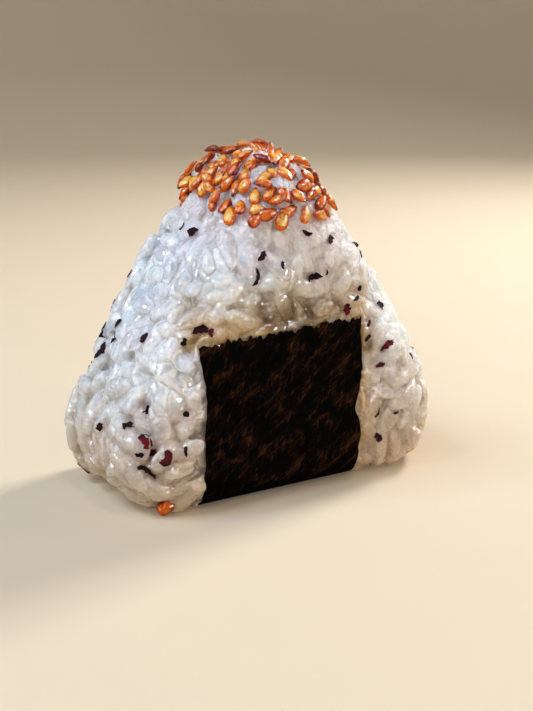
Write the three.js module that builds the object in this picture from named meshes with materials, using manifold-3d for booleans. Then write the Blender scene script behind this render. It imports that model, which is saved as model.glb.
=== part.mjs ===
// Onigiri: a hand-pressed rice ball of rounded triangular outline that stands on its
// base, with toasted sesame seeds on its crown, crumbled red shiso mixed into the rice
// and a strip of nori wrapped under it from the front face to the back face.
//
// Units are millimetres. +X runs along the base, +Y from the front face to the back
// face and +Z up. The origin is on the table, under the middle of the base.

import * as THREE from 'three';
import Module from 'manifold-3d';
import { mergeVertices } from 'three/addons/utils/BufferGeometryUtils.js';

// ---------------------------------------------------------------- driving dimensions

// The pressed ball.
const WIDTH = 62.7;
const HEIGHT = 55;
const THICKNESS = 31.3;
const CORNER_RADIUS = 10.1;
const CROWN_RADIUS = 5.7;
const SIDE_RADIUS = 147;
const BASE_EDGE = 5;
const SIDE_EDGE = 10.5;
const CROWN_EDGE = 15.3;
const HEART = new THREE.Vector3(0, 0, 20);

// Cooked short-grain rice. The solid core lies this far below the pressed form, and
// the grains' middles lie between the two depths given for them. Under the sesame the
// rice is pressed smooth and stands a little proud of the form.
const CORE_DEPTH = 0.9;
const CROWN_RISE = 0.4;
const CROWN_CROWDING = 0.35;
const GRAIN_LENGTH = 7.4;
const GRAIN_WIDTH = 3.6;
const GRAIN_THICKNESS = 3;
const GRAIN_BEND = 0.45;
const GRAIN_BLUNTNESS = 0.62;
const GRAIN_SPACING = 5.4;
const GRAIN_SHALLOWEST = 0.5;
const GRAIN_DEEPEST = 1.3;
const GRAIN_TILT = 0.3;
const GRAIN_LENGTH_SPREAD = 0.12;
const GRAIN_WIDTH_SPREAD = 0.08;

// Sesame seeds, which lie on the crown.
const SEED_LENGTH = 3.4;
const SEED_WIDTH = 2.2;
const SEED_THICKNESS = 1.3;
const SEED_TAPER = 0.35;
const SEED_SPACING = 2.1;
const SEED_LIFT = 0.5;
const SEED_TILT = 0.35;
const SEED_REACH_FACE = 45;
const SEED_REACH_SIDE = 48.5;

// Flakes of dried red shiso.
const FLAKE_LENGTH = 2.6;
const FLAKE_WIDTH = 1.3;
const FLAKE_THICKNESS = 0.7;
const FLAKE_SPACING = 9;
const FLAKE_SMALLEST = 0.75;
const FLAKE_LARGEST = 1.3;

// The nori strip.
const NORI_WIDTH = 30;
const NORI_MIDDLE = -3.5;
const NORI_THICKNESS = 0.5;
const NORI_FRONT_TOP = 27.9;
const NORI_BACK_TOP = 26.6;
const NORI_TOP_SLANT = 1.4;
const GAP = 0.3;

// ---------------------------------------------------------------- the pressed form

const clamp = THREE.MathUtils.clamp;
const smooth = THREE.MathUtils.smoothstep;
const mix = THREE.MathUtils.lerp;

// The right half of the outline in the XZ plane: corner, bowed side and crown, each an
// arc tangent to the next, with the range of directions in which it faces.
function outlineArcs() {
  const corner = new THREE.Vector2(WIDTH / 2 - CORNER_RADIUS, CORNER_RADIUS);
  const crown = new THREE.Vector2(0, HEIGHT - CROWN_RADIUS);
  const toCorner = SIDE_RADIUS - CORNER_RADIUS;
  const toCrown = SIDE_RADIUS - CROWN_RADIUS;
  const along = crown.clone().sub(corner);
  const span = along.length();
  along.divideScalar(span);
  const foot = (toCorner ** 2 - toCrown ** 2 + span ** 2) / (2 * span);
  const rise = Math.sqrt(toCorner ** 2 - foot ** 2);
  const inward = new THREE.Vector2(-along.y, along.x);
  const side = corner.clone().addScaledVector(along, foot).addScaledVector(inward, rise);
  const lower = Math.atan2(corner.y - side.y, corner.x - side.x);
  const upper = Math.atan2(crown.y - side.y, crown.x - side.x);
  return [
    { centre: corner, radius: CORNER_RADIUS, from: -Math.PI / 2, to: lower },
    { centre: side, radius: SIDE_RADIUS, from: lower, to: upper },
    { centre: crown, radius: CROWN_RADIUS, from: upper, to: Math.PI / 2 },
  ];
}

const ARCS = outlineArcs();

// How far the faces are rounded off behind a stretch of the outline that faces this way.
function edgeFacing(angle) {
  const side = mix(BASE_EDGE, SIDE_EDGE, smooth(angle, -Math.PI / 2, 0));
  return mix(side, CROWN_EDGE, smooth(angle, Math.PI / 6, Math.PI / 2));
}

// Depth of a point inside the outline, and the rounding behind the nearest stretch.
function outlineAt(x, z) {
  let inset = z;
  let facing = -Math.PI / 2;
  for (const arc of ARCS) {
    const dx = Math.abs(x) - arc.centre.x;
    const dz = z - arc.centre.y;
    const angle = clamp(Math.atan2(dz, dx), arc.from, arc.to);
    const depth = arc.radius - dx * Math.cos(angle) - dz * Math.sin(angle);
    if (depth < inset) {
      inset = depth;
      facing = angle;
    }
  }
  return { inset, edge: edgeFacing(facing) };
}

// Half the thickness of the form at a point of its outline plane, or -1 outside it.
function halfThickness(x, z) {
  const { inset, edge } = outlineAt(x, z);
  if (inset < 0) {
    return -1;
  }
  const turned = 1 - Math.min(inset / edge, 1);
  return THICKNESS / 2 - edge * (1 - Math.sqrt(1 - turned * turned));
}

// The point of the form's surface that lies in a direction from its heart.
function surfaceAt(direction) {
  const halvings = 40;
  let near = 0;
  let far = WIDTH;
  const point = new THREE.Vector3();
  for (let step = 0; step < halvings; step += 1) {
    const middle = (near + far) / 2;
    point.copy(HEART).addScaledVector(direction, middle);
    if (Math.abs(point.y) < halfThickness(point.x, point.z)) {
      near = middle;
    } else {
      far = middle;
    }
  }
  return point;
}

// The outward normal there, from two short steps along the surface.
function normalAt(direction) {
  const step = 0.01;
  const first = new THREE.Vector3(direction.y, direction.z, direction.x).cross(direction).normalize();
  const second = direction.clone().cross(first);
  const tangents = [first, second].map((way) => {
    const ahead = surfaceAt(direction.clone().addScaledVector(way, step).normalize());
    const behind = surfaceAt(direction.clone().addScaledVector(way, -step).normalize());
    return ahead.sub(behind);
  });
  const normal = tangents[0].cross(tangents[1]).normalize();
  return normal.dot(direction) < 0 ? normal.negate() : normal;
}

// ---------------------------------------------------------------- solids

const wasm = await Module();
wasm.setup();

function solidOf(geometry) {
  const bare = geometry.clone();
  bare.deleteAttribute('normal');
  bare.deleteAttribute('uv');
  const merged = mergeVertices(bare, 1e-4);
  return new wasm.Manifold(new wasm.Mesh({
    numProp: 3,
    vertProperties: Float32Array.from(merged.attributes.position.array),
    triVerts: Uint32Array.from(merged.index.array),
  }));
}

// The largest connected shell of a solid: loose scraps go, and sealed hollows fill.
function largestShell(solid) {
  const { vertProperties, triVerts } = solid.getMesh();
  const parent = Array.from({ length: vertProperties.length / 3 }, (_, vertex) => vertex);
  const rootOf = (vertex) => {
    let root = vertex;
    while (parent[root] !== root) {
      parent[root] = parent[parent[root]];
      root = parent[root];
    }
    return root;
  };
  for (let corner = 0; corner < triVerts.length; corner += 3) {
    const root = rootOf(triVerts[corner]);
    parent[rootOf(triVerts[corner + 1])] = root;
    parent[rootOf(triVerts[corner + 2])] = root;
  }
  const shells = new Map();
  for (let corner = 0; corner < triVerts.length; corner += 3) {
    const root = rootOf(triVerts[corner]);
    if (!shells.has(root)) {
      shells.set(root, []);
    }
    shells.get(root).push(triVerts[corner], triVerts[corner + 1], triVerts[corner + 2]);
  }
  const largest = [...shells.values()].sort((one, other) => other.length - one.length)[0];
  const geometry = new THREE.BufferGeometry();
  geometry.setAttribute('position', new THREE.BufferAttribute(Float32Array.from(vertProperties), 3));
  geometry.setIndex(largest);
  return geometry;
}

// ---------------------------------------------------------------- scattering by rule

function seededRandom(seed) {
  let state = seed;
  return () => {
    state = (state + 0x6d2b79f5) | 0;
    let value = Math.imul(state ^ (state >>> 15), 1 | state);
    value = (value + Math.imul(value ^ (value >>> 7), 61 | value)) ^ value;
    return ((value ^ (value >>> 14)) >>> 0) / 4294967296;
  };
}

// Evenly spread places on the form: random directions, kept where the surface point is
// at least the spacing away from every place kept before it.
function scatter(random, spacing, wanted) {
  const tries = 9000;
  const places = [];
  for (let attempt = 0; attempt < tries; attempt += 1) {
    const up = random() * 2 - 1;
    const around = random() * 2 * Math.PI;
    const out = Math.sqrt(1 - up * up);
    const direction = new THREE.Vector3(out * Math.cos(around), out * Math.sin(around), up);
    const point = surfaceAt(direction);
    const free = places.every((place) => place.point.distanceTo(point) > spacing);
    if (free && wanted(point)) {
      places.push({ point, normal: normalAt(direction) });
    }
  }
  return places;
}

// Where a shape lies, made with its length along Y and its thickness along Z: turned
// about the form's normal, rocked out of the tangent plane and sunk below the surface.
function lying(place, turn, rock, sink) {
  const upright = new THREE.Quaternion().setFromUnitVectors(new THREE.Vector3(0, 0, 1), place.normal);
  const turned = new THREE.Quaternion().setFromAxisAngle(new THREE.Vector3(0, 0, 1), turn);
  const rocked = new THREE.Quaternion().setFromAxisAngle(new THREE.Vector3(1, 0, 0), rock);
  const middle = place.point.clone().addScaledVector(place.normal, -sink);
  const whole = new THREE.Vector3(1, 1, 1);
  return new THREE.Matrix4().compose(middle, upright.multiply(turned).multiply(rocked), whole);
}

// Of several turns, the one that keeps both ends of a piece furthest from its
// neighbours' middles and from the ends of the pieces laid before it.
function clearestTurn(random, place, length, neighbours) {
  const tries = 10;
  let best = { room: -1 };
  for (let attempt = 0; attempt < tries; attempt += 1) {
    const turn = random() * 2 * Math.PI;
    const matrix = lying(place, turn, 0, 0);
    const ends = [-1, 1].map((way) => new THREE.Vector3(0, (way * length) / 2, 0).applyMatrix4(matrix));
    const room = Math.min(...neighbours.flatMap((point) => ends.map((end) => end.distanceTo(point))));
    if (room > best.room) {
      best = { room, turn, ends };
    }
  }
  return best;
}

function reshape(geometry, move) {
  const positions = geometry.attributes.position;
  const point = new THREE.Vector3();
  for (let index = 0; index < positions.count; index += 1) {
    point.fromBufferAttribute(positions, index);
    move(point);
    positions.setXYZ(index, point.x, point.y, point.z);
  }
  return geometry;
}

// ---------------------------------------------------------------- nori

// Height of the strip's cut edge above the table, on the front face or the back face.
function noriTop(x, back) {
  const middle = back ? NORI_BACK_TOP : NORI_FRONT_TOP;
  return middle + (NORI_TOP_SLANT * (x - NORI_MIDDLE)) / NORI_WIDTH;
}

// The form's section under the strip at one distance along X: points and outward
// normals from the front edge down, round the base and up to the back edge.
function sectionUnder(x, extraTop) {
  const rows = [];
  const legRows = 5;
  const turnRows = 4;
  const baseRows = 3;
  const side = (sign, back) => {
    const leg = [];
    const top = noriTop(x, back) + extraTop;
    for (let row = 0; row <= legRows; row += 1) {
      const z = mix(top, BASE_EDGE, row / legRows);
      const slope = (halfThickness(x, z + 0.05) - halfThickness(x, z - 0.05)) / 0.1;
      const length = Math.hypot(1, slope);
      leg.push({ y: sign * halfThickness(x, z), z, ny: sign / length, nz: -slope / length });
    }
    for (let row = 1; row <= turnRows; row += 1) {
      const angle = (Math.PI / 2) * (row / turnRows);
      const y = THICKNESS / 2 - BASE_EDGE * (1 - Math.cos(angle));
      leg.push({
        y: sign * y,
        z: BASE_EDGE * (1 - Math.sin(angle)),
        ny: sign * Math.cos(angle),
        nz: -Math.sin(angle),
      });
    }
    return leg;
  };
  const front = side(-1, false);
  const back = side(1, true);
  const flat = THICKNESS / 2 - BASE_EDGE;
  rows.push(...front);
  for (let row = 1; row < baseRows; row += 1) {
    rows.push({ y: mix(-flat, flat, row / baseRows), z: 0, ny: 0, nz: -1 });
  }
  rows.push(...back.reverse());
  return rows;
}

// A closed U-shaped sheet over the form's section, from one height off the form's
// surface to another, both faces split into triangles alike.
function wrap(halfWidth, outer, inner, extraTop) {
  const columns = 6;
  const positions = [];
  const indices = [];
  let rows = 0;
  for (let column = 0; column <= columns; column += 1) {
    const x = NORI_MIDDLE + mix(-halfWidth, halfWidth, column / columns);
    const section = sectionUnder(x, extraTop);
    rows = section.length;
    for (const level of [outer, inner]) {
      for (const { y, z, ny, nz } of section) {
        positions.push(x, y + ny * level, z + nz * level);
      }
    }
  }
  const at = (column, inside, row) => (column * 2 + (inside ? 1 : 0)) * rows + row;
  const quad = (a, b, c, d) => indices.push(a, b, c, a, c, d);
  for (let column = 0; column < columns; column += 1) {
    for (let row = 0; row < rows - 1; row += 1) {
      const next = column + 1;
      quad(at(column, false, row), at(column, false, row + 1), at(next, false, row + 1), at(next, false, row));
      quad(at(column, true, row), at(next, true, row), at(next, true, row + 1), at(column, true, row + 1));
    }
    for (const [row, first, second] of [[0, true, false], [rows - 1, false, true]]) {
      quad(at(column, first, row), at(column, second, row), at(column + 1, second, row), at(column + 1, first, row));
    }
  }
  for (const [column, first, second] of [[0, false, true], [columns, true, false]]) {
    for (let row = 0; row < rows - 1; row += 1) {
      quad(at(column, first, row), at(column, second, row), at(column, second, row + 1), at(column, first, row + 1));
    }
  }
  const geometry = new THREE.BufferGeometry();
  geometry.setAttribute('position', new THREE.BufferAttribute(Float32Array.from(positions), 3));
  geometry.setIndex(indices);
  return geometry;
}

function noriStrip() {
  return wrap(NORI_WIDTH / 2, 0, -NORI_THICKNESS, 0);
}

// The room that the strip takes out of the rice, with the clear gap round it.
function noriRoom() {
  const pastAllGrains = 6;
  return wrap(NORI_WIDTH / 2 + GAP, pastAllGrains, -NORI_THICKNESS - GAP, GAP);
}

function coveredByNori(point, margin) {
  const across = Math.abs(point.x - NORI_MIDDLE) < NORI_WIDTH / 2 + margin;
  return across && point.z < noriTop(point.x, point.y > 0) + margin;
}

// ---------------------------------------------------------------- rice and toppings

// How far a height is above the lower limit of the seeds, which reach further down the
// two faces than down the sides.
function aboveSeedLimit(point) {
  const toFace = smooth(Math.abs(point.y) / (THICKNESS / 2), 0.3, 0.9);
  return point.z - mix(SEED_REACH_SIDE, SEED_REACH_FACE, toFace);
}

// The core's facets crowd towards the crown, which is the most curved part, and are
// widest under the flat base.
function riceCore() {
  const geometry = new THREE.IcosahedronGeometry(1, 5);
  return reshape(geometry, (point) => {
    const turn = new THREE.Spherical().setFromVector3(new THREE.Vector3(point.x, point.z, -point.y));
    turn.phi -= CROWN_CROWDING * Math.sin(turn.phi);
    const lifted = new THREE.Vector3().setFromSphericalCoords(1, turn.phi, turn.theta);
    const direction = new THREE.Vector3(lifted.x, -lifted.z, lifted.y);
    const surface = surfaceAt(direction);
    const crown = smooth(aboveSeedLimit(surface), -2, 1);
    point.copy(surface).addScaledVector(normalAt(direction), mix(-CORE_DEPTH, CROWN_RISE, crown));
    point.z = surface.z < CORE_DEPTH ? 0 : point.z;
  });
}

// A grain is a blunt five-sided barrel with short pointed ends and a slight bend.
function grainShape(random) {
  const geometry = new THREE.SphereGeometry(0.5, 5, 3);
  const length = GRAIN_LENGTH * (1 + GRAIN_LENGTH_SPREAD * (random() * 2 - 1));
  const width = GRAIN_WIDTH * (1 + GRAIN_WIDTH_SPREAD * (random() * 2 - 1));
  return reshape(geometry, (point) => {
    const along = Math.sign(point.y) * Math.abs(point.y * 2) ** GRAIN_BLUNTNESS;
    point.set(point.x * width, (along * length) / 2, point.z * GRAIN_THICKNESS);
    point.x += GRAIN_BEND * (1 - along * along);
  });
}

// Lays the grains, and gives the place on top of each for what sticks to it.
function riceGrains(random) {
  const bare = (point) => point.z > 1 && aboveSeedLimit(point) < 0.5 && !coveredByNori(point, -1);
  const places = scatter(random, GRAIN_SPACING, bare);
  const taken = places.map((place) => place.point);
  return places.map((place) => {
    const shape = grainShape(random);
    const others = taken.filter((point) => point !== place.point);
    const { turn, ends } = clearestTurn(random, place, GRAIN_LENGTH, others);
    taken.push(...ends);
    const rock = GRAIN_TILT * (random() * 2 - 1);
    const depth = mix(GRAIN_SHALLOWEST, GRAIN_DEEPEST, random());
    shape.applyMatrix4(lying(place, turn, rock, depth));
    const top = place.point.clone().addScaledVector(place.normal, GRAIN_THICKNESS / 2 - depth);
    return { shape, top: { point: top, normal: place.normal } };
  });
}

function sesameSeeds(random) {
  const places = scatter(random, SEED_SPACING, (point) => aboveSeedLimit(point) > 0);
  return places.map((place) => {
    const shape = reshape(new THREE.SphereGeometry(0.5, 5, 3), (point) => {
      const taper = 1 - SEED_TAPER * point.y * 2;
      point.set(point.x * SEED_WIDTH * taper, point.y * SEED_LENGTH, point.z * SEED_THICKNESS * taper);
    });
    const turn = random() * 2 * Math.PI;
    return shape.applyMatrix4(lying(place, turn, SEED_TILT * (random() * 2 - 1), -SEED_LIFT));
  });
}

// Flakes stick to the tops of grains, the spacing apart and clear of nori and seeds.
function shisoFlakes(random, tops) {
  const chosen = [];
  for (const place of tops) {
    const apart = chosen.every((other) => other.point.distanceTo(place.point) > FLAKE_SPACING);
    const clear = !coveredByNori(place.point, 2) && aboveSeedLimit(place.point) < -1;
    if (apart && clear) {
      chosen.push(place);
    }
  }
  return chosen.map((place) => {
    const size = mix(FLAKE_SMALLEST, FLAKE_LARGEST, random());
    const shape = new THREE.OctahedronGeometry(0.5);
    shape.scale(FLAKE_WIDTH * size, FLAKE_LENGTH * size, FLAKE_THICKNESS);
    return shape.applyMatrix4(lying(place, random() * 2 * Math.PI, 0, 0));
  });
}

function belowTable() {
  const depth = 10;
  const box = new THREE.BoxGeometry(WIDTH * 2, THICKNESS * 2, depth);
  box.translate(0, 0, -depth / 2);
  return box;
}

function riceBall() {
  const random = seededRandom(7);
  const grains = riceGrains(random);
  const seeds = sesameSeeds(random);
  const flakes = shisoFlakes(random, grains.map((grain) => grain.top));
  let solid = solidOf(riceCore());
  for (const piece of [...grains.map((grain) => grain.shape), ...seeds, ...flakes]) {
    solid = solid.add(solidOf(piece));
  }
  solid = solid.subtract(solidOf(belowTable()));
  solid = solid.subtract(solidOf(noriRoom()));
  return largestShell(solid);
}

// ---------------------------------------------------------------- the assembled food

function namedMesh(name, geometry, material) {
  const mesh = new THREE.Mesh(geometry, material);
  mesh.name = name;
  geometry.computeVertexNormals();
  return mesh;
}

const cookedRice = new THREE.MeshStandardMaterial({ color: 0xdfe2e6, roughness: 0.35, metalness: 0 });
const toastedNori = new THREE.MeshStandardMaterial({ color: 0x14100c, roughness: 0.55, metalness: 0 });

const onigiri = new THREE.Group();
onigiri.add(namedMesh('rice_ball', riceBall(), cookedRice));
onigiri.add(namedMesh('nori_strip', noriStrip(), toastedNori));

export default onigiri;
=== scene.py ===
import bmesh
import bpy
import math
import numpy as np
from mathutils import Matrix, Vector
from mathutils.bvhtree import BVHTree


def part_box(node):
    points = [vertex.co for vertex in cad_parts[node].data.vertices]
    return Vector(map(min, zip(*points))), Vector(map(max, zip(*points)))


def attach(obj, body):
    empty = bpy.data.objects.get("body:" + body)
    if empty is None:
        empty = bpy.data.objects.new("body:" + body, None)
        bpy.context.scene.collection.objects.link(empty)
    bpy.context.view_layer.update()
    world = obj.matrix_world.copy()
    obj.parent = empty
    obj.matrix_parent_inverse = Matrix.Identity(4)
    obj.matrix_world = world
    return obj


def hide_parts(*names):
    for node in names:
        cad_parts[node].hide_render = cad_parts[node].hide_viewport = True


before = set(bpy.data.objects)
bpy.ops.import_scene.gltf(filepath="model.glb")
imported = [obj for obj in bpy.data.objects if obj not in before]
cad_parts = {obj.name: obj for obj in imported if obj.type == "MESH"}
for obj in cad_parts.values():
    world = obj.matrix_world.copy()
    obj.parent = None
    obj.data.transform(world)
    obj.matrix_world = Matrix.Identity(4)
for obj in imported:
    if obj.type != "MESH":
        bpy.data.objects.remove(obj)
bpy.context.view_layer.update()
MM = 0.001


# ---------------------------------------------------------------- the pressed form
# A hand squeezes hot rice into a rounded triangle that stands on its flat base. The
# outline is three arcs on each side, tangent to each other, and both faces round off
# behind it: tightly at the base, softly at the sides and fully over the crown.
form_width = 62.7 * MM
form_height = 55 * MM
nori_low, nori_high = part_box("nori_strip")
form_thickness = nori_high[1] - nori_low[1]
corner_radius = 10.1 * MM
crown_radius = 5.7 * MM
side_radius = 147 * MM
base_edge = 5 * MM
side_edge = 10.5 * MM
crown_edge = 15.3 * MM
crown_starts = math.pi / 6
heart = np.array([0, 0, 20 * MM])
halvings = 36
slope_step = 0.01


def form_arcs():
    """The arcs of the outline's right half: centre, radius, first and last angle."""
    corner = np.array([form_width / 2 - corner_radius, corner_radius])
    crown = np.array([0, form_height - crown_radius])
    to_corner = side_radius - corner_radius
    to_crown = side_radius - crown_radius
    span = np.linalg.norm(crown - corner)
    along = (crown - corner) / span
    foot = (to_corner**2 - to_crown**2 + span**2) / (2 * span)
    rise = math.sqrt(to_corner**2 - foot**2)
    side = corner + along * foot + np.array([-along[1], along[0]]) * rise
    lower = math.atan2(*(corner - side)[::-1])
    upper = math.atan2(*(crown - side)[::-1])
    return [
        (corner, corner_radius, -math.pi / 2, lower),
        (side, side_radius, lower, upper),
        (crown, crown_radius, upper, math.pi / 2),
    ]


def ramp(value, low, high):
    """0 at low, 1 at high, eased in between."""
    part = np.clip((value - low) / (high - low), 0, 1)
    return part * part * (3 - 2 * part)


def half_thickness(x, z):
    """Half the form's thickness at points of its outline plane, or -1 outside it."""
    inset = z.copy()
    facing = np.full_like(z, -math.pi / 2)
    for centre, radius, low, high in form_arcs():
        across = np.abs(x) - centre[0]
        up = z - centre[1]
        angle = np.clip(np.arctan2(up, across), low, high)
        depth = radius - across * np.cos(angle) - up * np.sin(angle)
        facing = np.where(depth < inset, angle, facing)
        inset = np.minimum(depth, inset)
    edge = base_edge + (side_edge - base_edge) * ramp(facing, -math.pi / 2, 0)
    edge = edge + (crown_edge - edge) * ramp(facing, crown_starts, math.pi / 2)
    turned = 1 - np.clip(inset / edge, 0, 1)
    half = form_thickness / 2 - edge * (1 - np.sqrt(1 - turned**2))
    return np.where(inset < 0, -1, half)


def surface_at(directions):
    """Where rays from the heart leave the form."""
    near = np.zeros(len(directions))
    far = np.full(len(directions), form_width)
    for _ in range(halvings):
        middle = (near + far) / 2
        points = heart + directions * middle[:, None]
        within = np.abs(points[:, 1]) < half_thickness(points[:, 0], points[:, 2])
        near = np.where(within, middle, near)
        far = np.where(within, far, middle)
    return heart + directions * near[:, None]


def unit(vectors):
    return vectors / np.linalg.norm(vectors, axis=1, keepdims=True)


def normals_at(directions):
    """The form's normals where rays from the heart leave it."""
    first = unit(np.cross(directions[:, [1, 2, 0]], directions))
    second = np.cross(directions, first)
    slopes = []
    for way in (first, second):
        ahead = surface_at(unit(directions + way * slope_step))
        slopes.append(ahead - surface_at(unit(directions - way * slope_step)))
    normals = unit(np.cross(*slopes))
    return normals * np.sign(np.sum(normals * directions, axis=1))[:, None]


# ---------------------------------------------------------------- the eye
# The ball is seen from the left of its front face and from a little above. What lies on
# it in plain sight is put where that eye sees it, and drops on whatever carries it.
eye_distance = 208.6 * MM
eye_target = Vector((0, 0, 20 * MM))
eye_azimuth = -31.65
eye_elevation = 14.9
eye_shift = 12.6
view_width = 533
view_height = 711
focal_length = 60.8
film_height = 36
first_sight = 0.75
last_sight = 1.15
sight_steps = 1600


def put_in_scene(name, data):
    thing = bpy.data.objects.new(name, data)
    bpy.context.collection.objects.link(thing)
    return thing


def direction_to(azimuth, elevation):
    turn = math.radians(azimuth)
    lift = math.radians(elevation)
    flat = math.cos(lift)
    return Vector((math.sin(turn) * flat, -math.cos(turn) * flat, math.sin(lift)))


eye_way = direction_to(eye_azimuth, eye_elevation)
lens = bpy.data.cameras.new("camera")
lens.sensor_width = film_height
lens.lens = focal_length
lens.clip_start = 0.01
lens.shift_x = eye_shift / view_height
camera = put_in_scene("camera", lens)
camera.location = eye_target + eye_way * eye_distance
camera.rotation_euler = eye_way.to_track_quat("Z", "Y").to_euler()
bpy.context.scene.camera = camera
eye_right, eye_up, _ = eye_way.to_track_quat("Z", "Y").to_matrix().transposed()


def sight_through(across, down):
    """The way from the eye through a place in its view, counted in pixels."""
    reach = focal_length / film_height * view_height
    right = across - view_width / 2 + eye_shift
    up = view_height / 2 - down
    return (eye_right * right + eye_up * up - eye_way * reach).normalized()


def way_seen(degrees):
    """A way in the eye's view, anticlockwise from the right."""
    turn = math.radians(degrees)
    return np.array(eye_right) * math.cos(turn) + np.array(eye_up) * math.sin(turn)


def form_seen_at(across, down):
    """Where the eye's sight meets or passes the pressed form, and the normal there."""
    sight = np.array(sight_through(across, down))
    steps = np.linspace(first_sight, last_sight, sight_steps)[:, None] * eye_distance
    points = np.array(camera.location) + sight * steps
    within = np.abs(points[:, 1]) < half_thickness(points[:, 0], points[:, 2])
    if within.any():
        nearest = np.argmax(within)
    else:
        nearest = np.linalg.norm(points - surface_at(unit(points - heart)), axis=1).argmin()
    direction = unit(points[nearest][None] - heart)
    return surface_at(direction)[0], normals_at(direction)[0]


# ---------------------------------------------------------------- rice
# Cooked short-grain rice, moist and sticky: two layers of whole grains over a plain
# middle, fused where they touch. The hand pressed it firm and nearly smooth at the crown
# and the right, but not at the left corner. Above the nori it carries painted shade and shadow.
grain_length = 6.9 * MM
grain_width = 3.3 * MM
grain_thickness = 2.5 * MM
grain_shapes = 14
grain_sizes = (0.8, 1.15)
grain_bluntness = (0.8, 1.0)
belly_swell = 0.22
rib_count = 4
rib_height = 0.05
sideways_bow = (0.1, 0.8)
upward_bow = 0.4
grain_dents = 0.06
grain_roll = 0.5
# Layers of grains: spacing, least and most depth in mm, and how far the grains rock.
deep_layer = (2.7, 1.5, 2.0, 0.2)
upper_layer = (3.0, 0.5, 1.3, 0.4)
layer_tries = 14000
turn_tries = 8
neighbour_reach = 1.4
end_share = 0.42
same_place = 0.1 * MM
# How deep the plain middle lies, how far grains stand out, and how much of what stands
# further out is pressed down.
loose_core = 1.45 * MM
firm_core = 0.8 * MM
loose_relief = 0.7 * MM
firm_relief = 0.2 * MM
loose_pressing = 0.75
extra_pressing = 0.2
firm_crown = (31 * MM, 44 * MM)
firm_right = (-8 * MM, 16 * MM)
# Grains that stand out: place in the eye's view, turn in degrees, size and depth in mm.
proud_grains = (
    (143, 249, 78, 1.0, -0.8), (243, 262, 98, 0.95, 0.8), (252, 284, 115, 0.85, 1.0),
    (176, 272, 85, 1.0, 0.9), (160, 309, 172, 1.05, 0.7), (152, 338, 50, 1.1, 0.7),
    (164, 350, 40, 1.1, 0.6), (170, 378, -50, 1.05, 0.7), (186, 386, -30, 1.0, 0.8),
    (157, 427, 105, 1.1, 0.7), (185, 425, 70, 0.9, 0.9), (88, 412, 80, 1.05, 0.7),
    (77, 434, 100, 1.0, 0.7), (100, 450, 60, 1.0, 0.8), (153, 488, -30, 1.05, 0.7),
    (189, 500, 60, 1.0, 0.7), (368, 361, 92, 0.9, 1.0), (128, 300, 60, 1.0, 0.8),
    (110, 376, 75, 1.05, 0.8), (224, 292, 20, 1.05, 1.0), (383, 274, 120, 0.9, 0.4),
    (397, 304, 118, 0.95, 0.3), (408, 333, 115, 0.9, 0.3), (418, 362, 110, 0.95, 0.3),
    (424, 392, 100, 0.9, 0.5), (226, 229, 75, 1.0, 0.9), (243, 224, 85, 1.0, 0.9),
    (261, 226, 95, 1.05, 0.9), (281, 224, 100, 1.0, 1.0), (206, 219, 60, 1.0, 1.0),
    (98, 476, 140, 1.0, 0.5), (133, 500, 165, 1.0, 0.5), (130, 270, 60, 1.0, -0.1),
    (113, 302, 62, 1.0, 0.0), (98, 336, 70, 1.0, 0.0), (69, 408, 75, 1.1, -0.3),
    (71, 430, 95, 1.1, -0.2), (84, 462, 125, 1.0, 0.1), (163, 214, 60, 0.95, 0.2),
)
proud_sink = 0.2
proud_room = 2.6 * MM
proud_relief = 1.0 * MM
proud_pressing = 0.6
# The fused surface: pimples on the grains, grooves between them.
pimple_size = 1.8 * MM
pimple_height = 0.03 * MM
groove_depth = 0.09 * MM
groove_reach = 0.3
nearest_grains = 7
batches = 40
fuse_size = 0.23 * MM
press_share = 0.5
rice_triangles = 190000
# Where the nori lies, how the rice is pressed beside it, and where painted shade darkens the rice
# above it.
nori_middle = (nori_low[0] + nori_high[0]) / 2
nori_half = (nori_high[0] - nori_low[0]) / 2
nori_front_top = 27.9 * MM
nori_back_top = 26.6 * MM
nori_slant = 1.4 / 30
nori_bed = 0.5 * MM
nori_gap = 0.1 * MM
nori_bank = 2.6
top_bank = 0.5
hem_swing = 0.7
nori_shade_depth = 2 * MM
nori_shade_height = 13 * MM
nori_shade_reach = 4.5 * MM
# Spots of painted shadow in the hollows over the nori: place in the eye's view and reach in mm.
shadow_spots = (
    (272, 322, 2.4), (292, 316, 3.0), (312, 313, 2.6),
    (262, 304, 1.6), (335, 308, 1.8), (368, 345, 1.5),
)
cool_milk = (0.71, 0.88, 1.0, 1)
plain_milk = (0.76, 0.78, 0.88, 1)
clear_grain = (0.46, 0.47, 0.52, 1)
painted_rim_highlight = (0.95, 0.97, 1.0, 1)
crease_shade_grey = (0.56, 0.52, 0.48, 1)
shiso_stain = (0.60, 0.42, 0.55, 1)
nori_shade_tan = (0.49, 0.32, 0.10, 1)
hollow_shadow_brown = (0.13, 0.07, 0.02, 1)
crown_blush = (0.68, 0.55, 0.54, 1)
painted_low_shade_warm = (0.48, 0.34, 0.20, 1)


def nori_top(x, back):
    """The height of the nori's upper edge, in front or at the back."""
    middle = np.where(back, nori_back_top, nori_front_top)
    return middle + nori_slant * (x - nori_middle)


def waves(rng, length):
    """A smooth random field of about this wavelength, mostly between -1 and 1."""
    count = 32
    ways = unit(rng.normal(size=(count, 3))) * 2 * math.pi / length
    starts = rng.uniform(0, 2 * math.pi, count)
    return lambda points: np.cos(points @ ways.T + starts).sum(axis=1) * 0.5 / math.sqrt(count / 2)


def taken_apart(shape):
    """A shape's corners and faces as arrays. The shape itself is freed."""
    corners = np.array([vertex.co[:] for vertex in shape.verts])
    faces = np.array([[vertex.index for vertex in face.verts] for face in shape.faces])
    shape.free()
    return corners, faces


def round_shape(subdivisions, radius):
    shape = bmesh.new()
    bmesh.ops.create_icosphere(shape, subdivisions=subdivisions, radius=radius)
    return taken_apart(shape)


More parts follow.
